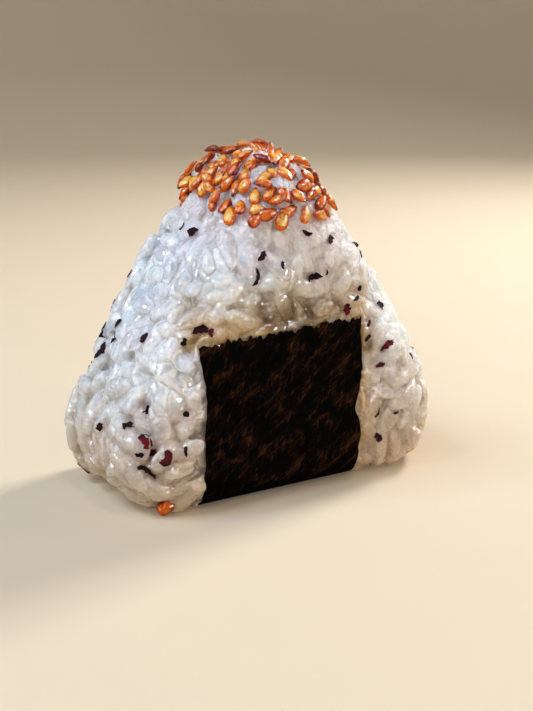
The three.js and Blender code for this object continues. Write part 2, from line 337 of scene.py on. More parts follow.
def grain_form(rng):
    """One grain: plump, longer along Y, a little bent, ribbed and flattened."""
    corners, faces = round_shape(3, 0.5)
    along = np.sign(corners[:, 1]) * np.abs(corners[:, 1] * 2) ** rng.uniform(*grain_bluntness)
    belly = 1 + rng.uniform(-belly_swell, belly_swell) * along
    around = np.arctan2(corners[:, 2], corners[:, 0])
    ribs = 1 + rib_height * np.cos(rib_count * around + rng.uniform(0, 6))
    grain = np.empty_like(corners)
    grain[:, 0] = corners[:, 0] * belly * ribs * grain_width
    grain[:, 1] = along * grain_length / 2
    grain[:, 2] = corners[:, 2] * belly * ribs * grain_thickness
    grain[:, 0] += rng.uniform(*sideways_bow) * MM * (1 - along**2)
    grain[:, 2] += rng.uniform(-upward_bow, upward_bow) * MM * (1 - along**2)
    dents = waves(rng, 4 * MM)(grain)
    return grain * (1 + grain_dents * dents[:, None]), faces


def scatter(rng, spacing, tries, wanted):
    """Evenly spread places on the form, each with its normal."""
    directions = unit(rng.normal(size=(tries, 3)))
    points = surface_at(directions)
    kept = []
    for index in np.flatnonzero(wanted(points)):
        apart = np.linalg.norm(points[kept] - points[index], axis=1)
        if not kept or apart.min() > spacing:
            kept.append(index)
    return points[kept], normals_at(directions[kept])


def everywhere(points):
    return np.full(len(points), True)


def turned_to(normal, turn, rock, roll):
    """Rotation that lays a shape's flat side on a surface with this normal."""
    upright = Vector((0, 0, 1)).rotation_difference(Vector(normal)).to_matrix()
    spin = Matrix.Rotation(turn, 3, "Z") @ Matrix.Rotation(rock, 3, "X")
    return np.array(upright @ (spin @ Matrix.Rotation(roll, 3, "Y")))


def laid_along(normal, way):
    """Rotation that lays a shape on a surface with its length along a way."""
    length = way - normal * (way @ normal)
    length = length / np.linalg.norm(length)
    return np.stack([np.cross(length, normal), length, normal], axis=1)


def clearest_turn(rng, place, normal, taken, length):
    """The turn, out of several, that keeps a piece's ends furthest from its neighbours."""
    near = taken[np.linalg.norm(taken - place, axis=1) < length * neighbour_reach]
    near = near[np.linalg.norm(near - place, axis=1) > same_place]
    best_room = -1
    for turn in rng.uniform(0, 2 * math.pi, turn_tries):
        tip = turned_to(normal, turn, 0, 0)[:, 1] * length * end_share
        ends = np.stack([place + tip, place - tip])
        room = np.linalg.norm(near[:, None] - ends, axis=2).min() if len(near) else 0
        if room > best_room:
            best_room, best_turn, best_ends = room, turn, ends
    return best_turn, best_ends


def set_smooth(mesh, smooth=True):
    mesh.polygons.foreach_set("use_smooth", [smooth] * len(mesh.polygons))


def piece_of(name, shapes):
    """One piece out of many (corners, faces) shapes."""
    starts = np.cumsum([0] + [len(corners) for corners, _ in shapes[:-1]])
    corners = np.concatenate([corners for corners, _ in shapes])
    faces = np.concatenate([faces + start for (_, faces), start in zip(shapes, starts)])
    mesh = bpy.data.meshes.new(name)
    mesh.vertices.add(len(corners))
    mesh.vertices.foreach_set("co", corners.ravel())
    mesh.loops.add(faces.size)
    mesh.loops.foreach_set("vertex_index", faces.ravel())
    mesh.polygons.add(len(faces))
    mesh.polygons.foreach_set("loop_start", np.arange(0, faces.size, faces.shape[1]))
    set_smooth(mesh)
    mesh.update(calc_edges=True)
    return put_in_scene(name, mesh)


def corners_of(mesh, kind="co"):
    """The place, or with kind "normal" the normal, of each corner of a mesh."""
    values = np.empty(len(mesh.vertices) * 3)
    mesh.vertices.foreach_get(kind, values)
    return values.reshape(-1, 3)


def note_values(mesh, name, values):
    """Stores a number for each corner, which the material reads by this name."""
    mesh.attributes.new(name, "FLOAT", "POINT").data.foreach_set("value", values)


def keep_clear(corners):
    """Presses rice flat on the table and under the nori."""
    x, y, z = corners.T
    beside = np.maximum(np.abs(x - nori_middle) - nori_half - nori_gap, 0)
    z = np.maximum(z, np.maximum(nori_bed - nori_bank * beside, 0))
    away = np.hypot(beside, top_bank * np.maximum(z - nori_top(x, y > 0) - nori_gap, 0))
    form = half_thickness(x, z)
    limit = form - nori_bed + nori_bank * away * (1 + hem_swing * hem(corners))
    pressed = np.where(form > 0, np.clip(y, -limit, limit), y)
    return np.stack([x, pressed, z], axis=1)


def drop_inner_shells(mesh):
    """Keeps the largest connected shell and removes the hollows that fusing sealed."""
    edges = np.empty(len(mesh.edges) * 2, dtype=np.int64)
    mesh.edges.foreach_get("vertices", edges)
    first, second = edges.reshape(-1, 2).T
    label = np.arange(len(mesh.vertices))
    while True:
        lower = np.minimum(label[first], label[second])
        new = label.copy()
        np.minimum.at(new, label[first], lower)
        np.minimum.at(new, label[second], lower)
        np.minimum.at(new, first, lower)
        np.minimum.at(new, second, lower)
        new = new[new]
        if np.array_equal(new, label):
            break
        label = new
    largest = np.bincount(label).argmax()
    shell = bmesh.new()
    shell.from_mesh(mesh)
    inner = [vertex for vertex in shell.verts if label[vertex.index] != largest]
    bmesh.ops.delete(shell, geom=inner, context="VERTS")
    shell.to_mesh(mesh)
    shell.free()


def apply_modifiers(piece):
    finished = piece.evaluated_get(bpy.context.evaluated_depsgraph_get())
    piece.data = bpy.data.meshes.new_from_object(finished)
    piece.modifiers.clear()
    return piece.data


rng = np.random.default_rng(11)
hem = waves(np.random.default_rng(12), 3 * MM)
grip = waves(rng, 17 * MM)


def firmness(points):
    """How hard the hand pressed: 0 where grains lie loose, 1 where they are smooth."""
    x, _, z = points.T
    pressed = 0.15 + 0.6 * ramp(z, *firm_crown) + 0.6 * ramp(x, *firm_right)
    return np.clip(pressed + 0.3 * grip(points), 0, 1)


kinds = [grain_form(rng) for _ in range(grain_shapes)]
core_rays, core_faces = round_shape(6, 1)
core_rays = unit(core_rays)
skin = surface_at(core_rays)
core_depth = loose_core + (firm_core - loose_core) * firmness(skin)
heap = [(skin - normals_at(core_rays) * core_depth[:, None], core_faces)]
grains = []


def bed(kind, place, normal, rotation, size, depth, relief, pressing):
    """Sinks a grain so many mm into the form and presses what stands over the relief."""
    grain, faces = kind
    sunk = normal * depth * MM
    corners = grain * size @ rotation.T - sunk
    spare = np.maximum(corners @ normal - relief, 0) * pressing
    heap.append((place + corners - spare[:, None] * normal, faces))
    grains.append((place - sunk, rotation, size))


proud = []
for across, down, turn, size, depth in proud_grains:
    place, normal = form_seen_at(across, down)
    proud.append((place, normal, laid_along(normal, way_seen(turn)), size, depth + proud_sink))
proud_places = np.array([place for place, _, _, _, _ in proud])
for layer in (deep_layer, upper_layer):
    spacing, shallow, deep, rocking = layer
    places, normals = scatter(rng, spacing * MM, layer_tries, everywhere)
    if layer is upper_layer:
        free = np.linalg.norm(places[:, None] - proud_places, axis=2).min(axis=1) > proud_room
        places, normals = places[free], normals[free]
    taken = places
    for place, normal, firm in zip(places, normals, firmness(places)):
        kind = kinds[rng.integers(grain_shapes)]
        turn, ends = clearest_turn(rng, place, normal, taken, grain_length)
        taken = np.concatenate([taken, ends])
        rock = rng.normal() * rocking * (1 - 0.6 * firm)
        rotation = turned_to(normal, turn, rock, rng.uniform(-grain_roll, grain_roll))
        size = rng.uniform(*grain_sizes)
        depth = rng.uniform(shallow, deep)
        relief = loose_relief + (firm_relief - loose_relief) * firm
        pressing = loose_pressing + extra_pressing * firm
        bed(kind, place, normal, rotation, size, depth, relief, pressing)
for place, normal, rotation, size, depth in proud:
    kind = kinds[rng.integers(grain_shapes)]
    bed(kind, place, normal, rotation, size, depth, proud_relief, proud_pressing)


def share_out(corners):
    """Which grain each corner belongs to, and how far inside that grain's edge it lies."""
    centres = np.array([centre for centre, _, _ in grains])
    turns = np.array([rotation for _, rotation, _ in grains])
    halves = np.array([[grain_width, grain_length, grain_thickness]]) / 2
    halves = halves * np.array([size for _, _, size in grains])[:, None]
    owners = []
    insides = []
    for some in np.array_split(corners, batches):
        apart = np.linalg.norm(some[:, None] - centres, axis=2)
        near = np.argpartition(apart, nearest_grains, axis=1)[:, :nearest_grains]
        from_centres = some[:, None] - centres[near]
        local = np.einsum("ngj,ngjk->ngk", from_centres, turns[near]) / halves[near]
        reach = np.linalg.norm(local, axis=2)
        order = np.argsort(reach, axis=1)
        first, second = np.take_along_axis(reach, order[:, :2], axis=1).T
        owners.append(np.take_along_axis(near, order[:, :1], axis=1)[:, 0])
        insides.append(second - first)
    return np.concatenate(owners), np.concatenate(insides)


rice = piece_of("rice", [(keep_clear(corners), faces) for corners, faces in heap])
fuse = rice.modifiers.new("fuse", "REMESH")
fuse.mode = "VOXEL"
fuse.voxel_size = fuse_size
soften = rice.modifiers.new("soften", "SMOOTH")
soften.factor = 0.5
soften.iterations = 1
fused = apply_modifiers(rice)
drop_inner_shells(fused)
firm_parts = rice.vertex_groups.new(name="firm")
for index, weight in enumerate((press_share * firmness(corners_of(fused))).tolist()):
    firm_parts.add([index], weight, "REPLACE")
press = rice.modifiers.new("press", "SMOOTH")
press.factor = 0.5
press.iterations = 2
press.vertex_group = firm_parts.name
fused = apply_modifiers(rice)
rice.vertex_groups.clear()
rice_corners = corners_of(fused)
pimples = waves(rng, pimple_size)(rice_corners)
pimples = pimples + 0.6 * waves(rng, 0.6 * pimple_size)(rice_corners)
grooves = np.exp(-((share_out(rice_corners)[1] / groove_reach) ** 2))
rise = pimples * pimple_height - grooves * groove_depth * (1 - 0.7 * firmness(rice_corners))
rice_corners = keep_clear(rice_corners + corners_of(fused, "normal") * rise[:, None])
fused.vertices.foreach_set("co", rice_corners.ravel())
thin = rice.modifiers.new("thin", "DECIMATE")
thin.ratio = rice_triangles / sum(len(face.vertices) - 2 for face in fused.polygons)
fused = apply_modifiers(rice)
set_smooth(fused)

# What the rice's material reads at each corner.
rice_corners = corners_of(fused)
rice_faces = [list(face.vertices) for face in fused.polygons]
rice_shape = BVHTree.FromPolygons(rice_corners.tolist(), rice_faces)
outward = unit(rice_corners - heart)
above_form = np.sum((rice_corners - surface_at(outward)) * outward, axis=1)
note_values(fused, "height", above_form / MM)
owners, insides = share_out(rice_corners)
note_values(fused, "clear", rng.random(len(grains))[owners])
note_values(fused, "inside", insides)
# Painted shade: the rice just above and beside the top of the nori is darkened tan.
from_middle = rice_corners[:, 0] - nori_middle
beside_nori = np.maximum(np.abs(from_middle) - nori_half, 0)
above_nori = rice_corners[:, 2] - nori_top(rice_corners[:, 0], rice_corners[:, 1] > 0)
over_edge = np.maximum(ramp(above_nori, -nori_shade_depth, 0), ramp(from_middle, 0, 5 * MM))
shade_near_nori = over_edge * ramp(above_nori, nori_shade_height, -nori_shade_depth)
shade_near_nori = shade_near_nori * ramp(beside_nori, nori_shade_reach, 0)
shade_near_nori *= ramp(np.abs(rice_corners[:, 1]), 4 * MM, 11 * MM)
note_values(fused, "shade_near_nori", shade_near_nori)
# Painted shadow: dark brown spots in the hollows under the overhanging rice above the nori.
hollow_shadow = np.zeros(len(rice_corners))
for across, down, reach in shadow_spots:
    away = np.linalg.norm(rice_corners - form_seen_at(across, down)[0], axis=1)
    hollow_shadow = np.maximum(hollow_shadow, np.exp(-((away / (reach * MM)) ** 2)))
note_values(fused, "hollow_shadow", hollow_shadow)
note_values(fused, "loose", 1 - firmness(rice_corners))


def feed(socket, value):
    """Links a shade to a socket, or sets the socket to a plain value."""
    if isinstance(value, Shade):
        socket.id_data.links.new(value.socket, socket)
    else:
        socket.default_value = value


class Shade:
    """A socket of a material, for sums and for further nodes."""

    def __init__(self, tree, socket=None):
        self.tree = tree
        self.socket = socket

    def node(self, kind, output=0, settings=None, inputs=None):
        made = self.tree.nodes.new(kind)
        for name, setting in (settings or {}).items():
            setattr(made, name, setting)
        for name, value in (inputs or {}).items():
            feed(made.inputs[name], value)
        return Shade(self.tree, made.outputs[output])

    def sum(self, operation, first, second):
        return self.node("ShaderNodeMath", 0, {"operation": operation}, {0: first, 1: second})

    def __add__(self, other):
        return self.sum("ADD", self, other)

    def __radd__(self, other):
        return self.sum("ADD", other, self)

    def __sub__(self, other):
        return self.sum("SUBTRACT", self, other)

    def __rsub__(self, other):
        return self.sum("SUBTRACT", other, self)

    def __mul__(self, other):
        return self.sum("MULTIPLY", self, other)

    def __rmul__(self, other):
        return self.sum("MULTIPLY", other, self)

    def between(self, low, high):
        """0 at low, 1 at high, eased in between."""
        settings = {"interpolation_type": "SMOOTHSTEP"}
        inputs = {"Value": self, "From Min": low, "From Max": high}
        return self.node("ShaderNodeMapRange", 0, settings, inputs)

    def blend(self, first, second):
        """A colour between two, by this value."""
        inputs = {"Factor": self, 6: first, 7: second}
        return self.node("ShaderNodeMix", 2, {"data_type": "RGBA"}, inputs)

    def noise(self, scale, detail=3, stretch=0):
        """Soft random patches over this place."""
        inputs = {"Vector": self, "Scale": scale, "Detail": detail, "Distortion": stretch}
        return self.node("ShaderNodeTexNoise", 0, None, inputs)

    def noted(self, name, output="Fac"):
        """What note_values stored under this name."""
        return self.node("ShaderNodeAttribute", output, {"attribute_name": name})

    def upright(self):
        """The height of this place."""
        return self.node("ShaderNodeSeparateXYZ", "Z", None, {0: self})

    def bump(self, strength, distance):
        """A normal that follows this value as relief."""
        inputs = {"Strength": strength, "Distance": distance, "Height": self}
        return self.node("ShaderNodeBump", 0, None, inputs)


def new_material(name):
    """A material, its shader node, and its place on the object."""
    material = bpy.data.materials.new(name)
    material.use_nodes = True
    here = Shade(material.node_tree).node("ShaderNodeTexCoord", "Object")
    return material, material.node_tree.nodes["Principled BSDF"], here


def dress(shader, **finish):
    """Sets or links a shader's sockets, with underscores for spaces."""
    for name, value in finish.items():
        feed(shader.inputs[name.replace("_", " ")], value)


wet_rice, shader, here = new_material("wet rice")
inside = here.noted("inside")
loose = here.noted("loose")
cloud = here.noted("clear") + 1.6 * (here.noise(300, 4) - 0.5)
edge = inside.between(0.04, 0.2) * inside.between(0.6, 0.3)
painted_crease_shade = here.noted("height").between(0.2, -1.4)
painted_shade_near_nori = here.noted("shade_near_nori") * here.noise(260, 3).between(0.1, 0.55)
hollow_shadow = here.noted("hollow_shadow") * here.noise(350, 3).between(0.28, 0.5)
upright = here.upright()
milk = here.noise(90, 3).between(0.35, 0.65).blend(cool_milk, plain_milk)
milk = (0.8 * cloud.between(0.4, 1.1)).blend(milk, clear_grain)
# Painted highlight: each grain's rim is paler, standing in for light shining through its edge.
milk = (edge * (0.35 + 0.6 * loose)).blend(milk, painted_rim_highlight)
# Painted shade: rice lying deeper than the form is greyer in the creases.
milk = (painted_crease_shade * 0.4).blend(milk, crease_shade_grey)
milk = (here.noted("stain") * 0.5).blend(milk, shiso_stain)
# Painted shade: the rice above the nori is darkened tan, in patches.
milk = (0.95 * painted_shade_near_nori).blend(milk, nori_shade_tan)
# Painted shadow: dark brown spots in the hollows over the nori.
milk = hollow_shadow.blend(milk, hollow_shadow_brown)
milk = (0.55 * upright.between(38 * MM, 46 * MM)).blend(milk, crown_blush)
# Painted shade and warm bounce light: the rice grows darker and warmer towards the bottom.
milk = (0.9 * upright.between(34 * MM, -5 * MM)).blend(milk, painted_low_shade_warm)
sticky = (loose + 2 * (here.noise(160, 2) - 0.5)).between(0.1, 0.7)
drops = (here.noise(1700, 2) + 0.12 * sticky).between(0.505, 0.55)
skin_waves = 1.1 * here.noise(750, 1) + 0.7 * here.noise(1500, 1)
skin_waves = skin_waves + (0.15 + 0.35 * loose) * inside.between(0, 0.3)
dress(
    shader,
    Base_Color=milk,
    Roughness=0.64 - 0.54 * drops,
    Normal=skin_waves.bump(1.0, 0.32 * MM),
    Subsurface_Weight=1,
    Subsurface_Radius=(1.0, 0.95, 0.85),
    Subsurface_Scale=5.5 * MM,
    IOR=1.42,
    Specular_IOR_Level=0.5,
)
fused.materials.clear()
fused.materials.append(wet_rice)
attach(rice, "root")
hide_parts("rice_ball")


# ---------------------------------------------------------------- sesame seeds
# Whole hulled sesame, roasted and tossed in seasoning until it is orange-brown and
# glossy: flat drops with a dark scorched tip. They cap the crown, some upon others.
seed_length = 3.25 * MM
seed_width = 1.8 * MM
seed_thickness = 1.15 * MM
seed_shapes = 8
seed_spacing = 1.62 * MM
seed_overlap = 2.5 * MM
seed_step = 0.5 * MM
seed_rest = 0.36
top_level = 2
slide_chance = 0.6
cap_on_faces = 45.8 * MM
cap_on_sides = 49.2 * MM
cap_tries = 30000
cap_gap = 0.65
search_steps = 80
search_height = 6 * MM
# Seeds at the cap's rim and seeds that stand: place in the eye's view, turn in degrees.
rim_seeds = (
    (190, 179, 75), (194, 171, 60), (202, 165, 35), (214, 206, 120), (219, 200, 30),
    (227, 208, 60), (231, 217, 95), (242, 210, 100), (258, 211, -10), (268, 216, 15),
    (288, 212, 30), (304, 215, 75), (323, 189, 25), (330, 202, -25),
)
standing_seeds = ((272, 147, 95), (283, 146, 60), (257, 143, 125), (166, 507, 20))
dark_hull_and_rim_shade = (0.22, 0.010, 0.0005, 1)
orange_hull = (0.76, 0.14, 0.001, 1)
golden_hull_and_highlight = (0.95, 0.52, 0.11, 1)
hull_specks = (0.12, 0.02, 0.004, 1)
scorched_tip = (0.015, 0.005, 0.003, 1)


def dropped_from(across, down):
    """Where the eye's sight meets or passes the rice, and the form's normal there."""
    sight = sight_through(across, down)
    spot = rice_shape.ray_cast(camera.location, sight)[0]
    if spot is None:
        steps = np.linspace(first_sight, last_sight, search_steps) * eye_distance
        found = [rice_shape.find_nearest(camera.location + sight * step) for step in steps]
        spot = min(found, key=lambda nearest: nearest[3])[0]
    normal = normals_at(unit(np.array([spot[:]]) - heart))[0]
    return np.array(spot[:]), normal


def rice_under(point, normal):
    """The rice's outer surface straight below or above a point."""
    above = Vector(point + normal * search_height)
    spot = rice_shape.ray_cast(above, Vector(-normal), 2 * search_height)[0]
    return np.array(spot[:]) if spot else point


def seed_form(rng):
    """One seed, a flat drop along Y, and how near its tip and its edge each corner is."""
    corners, faces = round_shape(3, 0.5)
    along = corners[:, 1] * 2
    taper = (1 - rng.uniform(0.18, 0.34) * along) * (1 + 0.12 * (1 - along**2))
    seed = np.empty_like(corners)
    seed[:, 0] = corners[:, 0] * taper * seed_width * rng.uniform(0.9, 1.12)
    seed[:, 1] = (along + 0.1 * np.maximum(along, 0) ** 4) * seed_length / 2
    seed[:, 2] = corners[:, 2] * taper * seed_thickness
    seed[:, 2] -= rng.uniform(0, 0.3) * MM * along**2
    dents = waves(rng, 2 * MM)(seed)
    rim = np.clip(np.hypot(corners[:, 0] * 2, along), 0, 1)
    return seed * (1 + 0.05 * dents[:, None]), faces, along, rim


def in_cap(points):
    """Where sesame lies: lower on the faces than on the sides, and more ragged behind."""
    x, y, z = points.T
    to_face = ramp(np.abs(y) / (form_thickness / 2), 0.3, 0.85)
    ragged = 1 + 2.5 * ramp(y, 4 * MM, 12 * MM) * ramp(x, -8 * MM, 0)
    edge = cap_on_sides + (cap_on_faces - cap_on_sides) * to_face
    return z > edge + cap_ragged(points) * ragged * MM


rng = np.random.default_rng(23)
cap_ragged = waves(rng, 9 * MM)
gaps = waves(rng, 7 * MM)
seed_kinds = [seed_form(rng) for _ in range(seed_shapes)]
laid = []
for across, down, turn in rim_seeds:
    place, normal = dropped_from(across, down)
    laid.append((place, normal, laid_along(normal, way_seen(turn))))
for across, down, turn in standing_seeds:
    place, _ = dropped_from(across, down)
    to_eye = np.array(eye_way)
    laid.append((place, to_eye, laid_along(to_eye, way_seen(turn))))
places, normals = scatter(rng, seed_spacing, cap_tries, in_cap)
own_places = np.array([place for place, _, _ in laid])
for place, normal in zip(places, normals):
    crowded = np.linalg.norm(own_places - place, axis=1).min() < seed_spacing
    if crowded or gaps(place[None])[0] > cap_gap:
        continue
    turn, _ = clearest_turn(rng, place, normal, places, seed_length)
    laid.append((rice_under(place, normal), normal, turned_to(normal, turn, 0, 0)))
seeds = []
tips = []
rims = []
tones = []
levels = []
for place, normal, rotation in laid:
    seed, seed_faces, along, rim = seed_kinds[rng.integers(seed_shapes)]
    below = [
        level for (other, _, _), level in zip(laid, levels)
        if np.linalg.norm(other - place) < seed_overlap and level < top_level
    ]
    level = max(below) + 1 if below else 0
    level = 0 if level == top_level and rng.random() < slide_chance else level
    levels.append(level)
    tilt = np.array(Matrix.Rotation(rng.normal() * (0.12 + 0.1 * level), 3, "X"))
    roll = np.array(Matrix.Rotation(rng.normal() * (0.2 + 0.15 * level), 3, "Y"))
    seat = place + normal * (seed_rest * seed_thickness + level * seed_step)
    turned = seed * rng.uniform(0.9, 1.1) @ (rotation @ tilt @ roll).T + seat
    turned[:, 2] += max(-turned[:, 2].min(), 0)
    seeds.append((turned, seed_faces))
    tips.append(along)
    rims.append(rim)
    tones.append(np.full(len(along), rng.random()))
sesame = piece_of("sesame_seeds", seeds)
note_values(sesame.data, "tip", np.concatenate(tips))
note_values(sesame.data, "rim", np.concatenate(rims))
note_values(sesame.data, "tone", np.concatenate(tones))

roasted, shader, here = new_material("roasted sesame")
blotch = here.noise(1000, 5, 1.5)
# Each seed turns darker towards its outline: partly its own darker rim, partly painted contact
# shade.
tone_and_rim_shade = here.noted("tone") + 2.4 * (blotch - 0.5) + 0.35 - 0.8 * here.noted("rim").between(0.5, 1)
hull = tone_and_rim_shade.between(-0.3, 0.5).blend(dark_hull_and_rim_shade, orange_hull)
# The golden parts are partly a paler hull and partly a painted highlight.
hull = tone_and_rim_shade.between(0.65, 1.05).blend(hull, golden_hull_and_highlight)
hull = (0.6 * here.noise(3200, 2).between(0.62, 0.7)).blend(hull, hull_specks)
hull = here.noted("tip").between(0.8, 0.92).blend(hull, scorched_tip)
dress(
    shader,
    Base_Color=hull,
    Roughness=0.16 + 0.24 * blotch,
    Normal=here.noise(1700, 3).bump(0.8, 0.12 * MM),
    Subsurface_Weight=0.15,
    Subsurface_Radius=(1.0, 0.5, 0.2),
    Subsurface_Scale=0.4 * MM,
    Coat_Weight=0.35,
    Coat_Roughness=0.08,
    Specular_IOR_Level=0.12,
)
sesame.data.materials.append(roasted)
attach(sesame, "root")


# ---------------------------------------------------------------- shiso flakes
# Dried red shiso leaf, crumbled and stirred into the rice: thin curled scraps, nearly
# black where dry and wine red where the rice wets them. They tint the rice round them.
flake_thickness = 0.1 * MM
flake_spacing = 4.6 * MM
flake_tries = 9000
flake_lengths = (1.0, 3.2)
flake_slimness = (0.3, 0.6)
flake_bend = 0.2
flake_curl = 0.3
flake_lift = 0.08 * MM
missing_share = 0.25
lowest_flake = 0.5 * MM
highest_flake = 44 * MM
flake_margin = 1 * MM
sight_margin = 20 * MM
drape_share = 0.85
most_raised = 0.6 * MM
most_dropped = 1.2 * MM
# Flakes in plain sight: place in the eye's view, length and width in mm, turn in degrees,
# and how red they are.
seen_flakes = (
    (194, 233, 1.9, 1.3, 10, 0.1), (183, 227, 1.6, 0.3, 95, 0), (262, 256, 1.8, 0.8, 60, 0.2),
    (255, 277, 2.8, 0.5, 75, 0), (283, 265, 1.2, 0.5, 80, 0), (307, 232, 1.7, 0.6, -15, 0),
    (330, 240, 1.6, 1.1, 50, 0.2), (356, 244, 1.2, 0.8, 0, 0), (361, 254, 1.2, 0.6, 50, 0),
    (314, 278, 2.4, 0.8, 15, 0), (326, 272, 0.9, 0.5, 60, 0), (359, 288, 1.1, 0.8, 0, 0),
    (356, 298, 1.5, 0.5, 25, 0), (380, 306, 1.6, 1.1, -20, 0.1), (348, 309, 2.2, 1.1, 120, 0.8),
    (368, 323, 1.4, 0.5, 45, 0.3), (368, 338, 1.5, 0.5, 35, 0), (388, 346, 3.2, 1.0, 20, 0.9),
    (380, 365, 1.9, 1.0, -5, 0.6), (411, 356, 1.4, 0.7, 0, 0), (396, 412, 1.7, 0.4, 0, 0),
    (377, 413, 1.8, 0.4, 50, 0), (378, 437, 1.9, 0.9, -50, 1.0), (119, 324, 2.0, 0.9, 10, 0.6),
    (102, 334, 1.3, 0.8, 60, 0), (116, 339, 1.8, 0.6, 75, 0), (100, 350, 3.2, 1.0, 70, 0.1),
    (143, 338, 1.9, 1.2, -50, 0.2), (201, 332, 2.6, 1.1, 10, 0.2), (212, 333, 1.4, 0.6, 80, 0.7),
    (184, 342, 1.3, 0.6, 60, 0), (147, 410, 1.5, 0.6, 70, 0), (129, 426, 1.5, 1.1, 30, 0.1),
    (186, 414, 1.0, 0.9, 0, 0), (144, 442, 2.6, 1.3, 120, 0.9), (151, 452, 2.6, 0.9, -40, 0.8),
    (165, 458, 2.6, 1.4, 70, 0.6), (140, 454, 1.5, 0.7, 0, 0), (147, 472, 3.4, 0.8, -35, 0.1),
    (187, 452, 1.8, 0.3, 100, 0.3), (100, 427, 1.4, 0.4, 70, 0.3), (312, 199, 1.9, 0.9, 20, 0),
)
dry_leaf = (0.006, 0.002, 0.003, 1)
wet_leaf = (0.15, 0.004, 0.010, 1)


def flake_form(rng, length, width):
    """One scrap of leaf with a torn outline, bent along its length and curled across it."""
    shape = bmesh.new()
    bmesh.ops.create_grid(shape, x_segments=4, y_segments=9, size=0.5)
    for vertex in shape.verts:
        across, along = vertex.co.x * 2, vertex.co.y * 2
        outline = (1 - abs(along) ** 4) ** 0.5 * rng.uniform(0.5, 1.25)
        vertex.co.x = (across * (outline + 0.2) + rng.uniform(-0.12, 0.12)) * width / 2
        vertex.co.y = along * rng.uniform(0.85, 1.1) * length / 2
        vertex.co.z = rng.uniform(-0.05, 0.05) * MM
    bend = rng.uniform(-flake_bend, flake_bend) * length
    curl = rng.uniform(0, flake_curl) * width
    for vertex in shape.verts:
        across, along = vertex.co.x / width * 2, vertex.co.y / length * 2
        lift = 0.08 * length * along**2 * rng.uniform(0, 1)
        vertex.co.z += curl * min(across**2, 1) + lift
        vertex.co.x += bend * (1 - along**2)
    bmesh.ops.recalc_face_normals(shape, faces=shape.faces)
    bmesh.ops.solidify(shape, geom=shape.faces[:], thickness=flake_thickness)
    bmesh.ops.triangulate(shape, faces=shape.faces[:])
    shape.verts.index_update()
    corners, faces = taken_apart(shape)
    least = (-0.45 * length, -0.55 * length, -0.15 * MM)
    most = (0.45 * length, 0.55 * length, 0.3 * length)
    return np.clip(corners, least, most), faces


def draped(flake, place, normal, rotation):
    """Lets a flake follow the rice that it sticks to."""
    settled = []
    for corner in flake @ rotation.T:
        rise = corner @ normal
        foot = place + corner - normal * rise
        drop = drape_share * ((rice_under(foot, normal) - foot) @ normal)
        drop = max(min(drop, most_raised), -most_dropped)
        settled.append(foot + normal * (rise + drop + flake_lift))
    return np.maximum(settled, (-np.inf, -np.inf, 0))


def bare_rice(points):
    """Where the rice shows between the table, the nori and the sesame."""
    x, y, z = points.T
    across_nori = np.abs(x - nori_middle) < nori_half + flake_margin
    under_nori = across_nori & (z < nori_top(x, y > 0) + flake_margin)
    return (z > lowest_flake) & ~under_nori & (z < highest_flake)


rng = np.random.default_rng(5)
flakes = []
reds = []
stained = []
for across, down, length, width, turn, red in seen_flakes:
    place, normal = dropped_from(across, down)
    rotation = laid_along(normal, way_seen(turn))
    flake, flake_faces = flake_form(rng, length * MM, width * MM)
    flakes.append((draped(flake, place, normal, rotation), flake_faces))
    reds.append(np.full(len(flake), red))
    stained.append((place, length * MM))
places, normals = scatter(rng, flake_spacing, flake_tries, bare_rice)
facing_eye = np.sum((np.array(camera.location) - places) * normals, axis=1) > sight_margin
for place, normal in zip(places[~facing_eye], normals[~facing_eye]):
    if rng.random() < missing_share:
        continue
    place = rice_under(place, normal)
    length = rng.uniform(*flake_lengths)
    flake, flake_faces = flake_form(rng, length * MM, rng.uniform(*flake_slimness) * length * MM)
    rotation = turned_to(normal, rng.uniform(0, 6.3), 0, 0)
    flakes.append((draped(flake, place, normal, rotation), flake_faces))
    reds.append(np.full(len(flake), max(rng.uniform(-0.6, 1), 0)))
    stained.append((place, length * MM))
shiso = piece_of("shiso_flakes", flakes)
set_smooth(shiso.data, False)
note_values(shiso.data, "red", np.concatenate(reds))

stain = np.where(in_cap(rice_corners), 0.5, 0.0)
for place, length in stained:
    away = np.linalg.norm(rice_corners - place, axis=1)
    fading = np.exp(-((away / (0.5 * length + 1 * MM)) ** 2))
    stain = np.maximum(stain, rng.uniform(0.1, 0.9) * fading)
note_values(fused, "stain", stain)

dried, shader, here = new_material("dried shiso")
veins = here.noise(900, 3)
dress(
    shader,
    Base_Color=(here.noted("red") * veins.between(0.35, 0.55)).blend(dry_leaf, wet_leaf),
    Roughness=0.5 + 0.4 * veins,
    Normal=veins.bump(0.5, 0.1 * MM),
    Specular_IOR_Level=0.05,
)
shiso.data.materials.append(dried)
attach(shiso, "root")


# ---------------------------------------------------------------- nori
# One strip of toasted nori, laid over the lower front, under the base and up the back.
# It is a thin dried sheet of seaweed fibre: its cut ends are torn ragged, its sides
# waver a little, and it takes the bumps of the rice that it clings to.
nori_thickness = 0.25 * MM
nori_columns = 150
nori_rows = 190
tooth_height = 0.4 * MM
side_waver = 0.25 * MM
# Nicks in the sides: which side, and height, depth and reach in mm.
side_nicks = ((1, 12.5, 0.9, 1.6), (1, 6.0, 0.3, 1.2), (-1, 19.0, 0.6, 3.0), (-1, 8.0, 0.3, 2.5))
nori_relief = 0.2 * MM
edge_starts = 0.93
flat_half = form_thickness / 2 - base_edge
turn_length = base_edge * math.pi / 2
leg_length = nori_front_top - base_edge
sheet_half = flat_half + turn_length + leg_length
flat_share = flat_half / sheet_half
turn_share = (flat_half + turn_length) / sheet_half
nori_black = (0.0008, 0.0005, 0.0003, 1)
nori_brown = (0.066, 0.024, 0.007, 1)

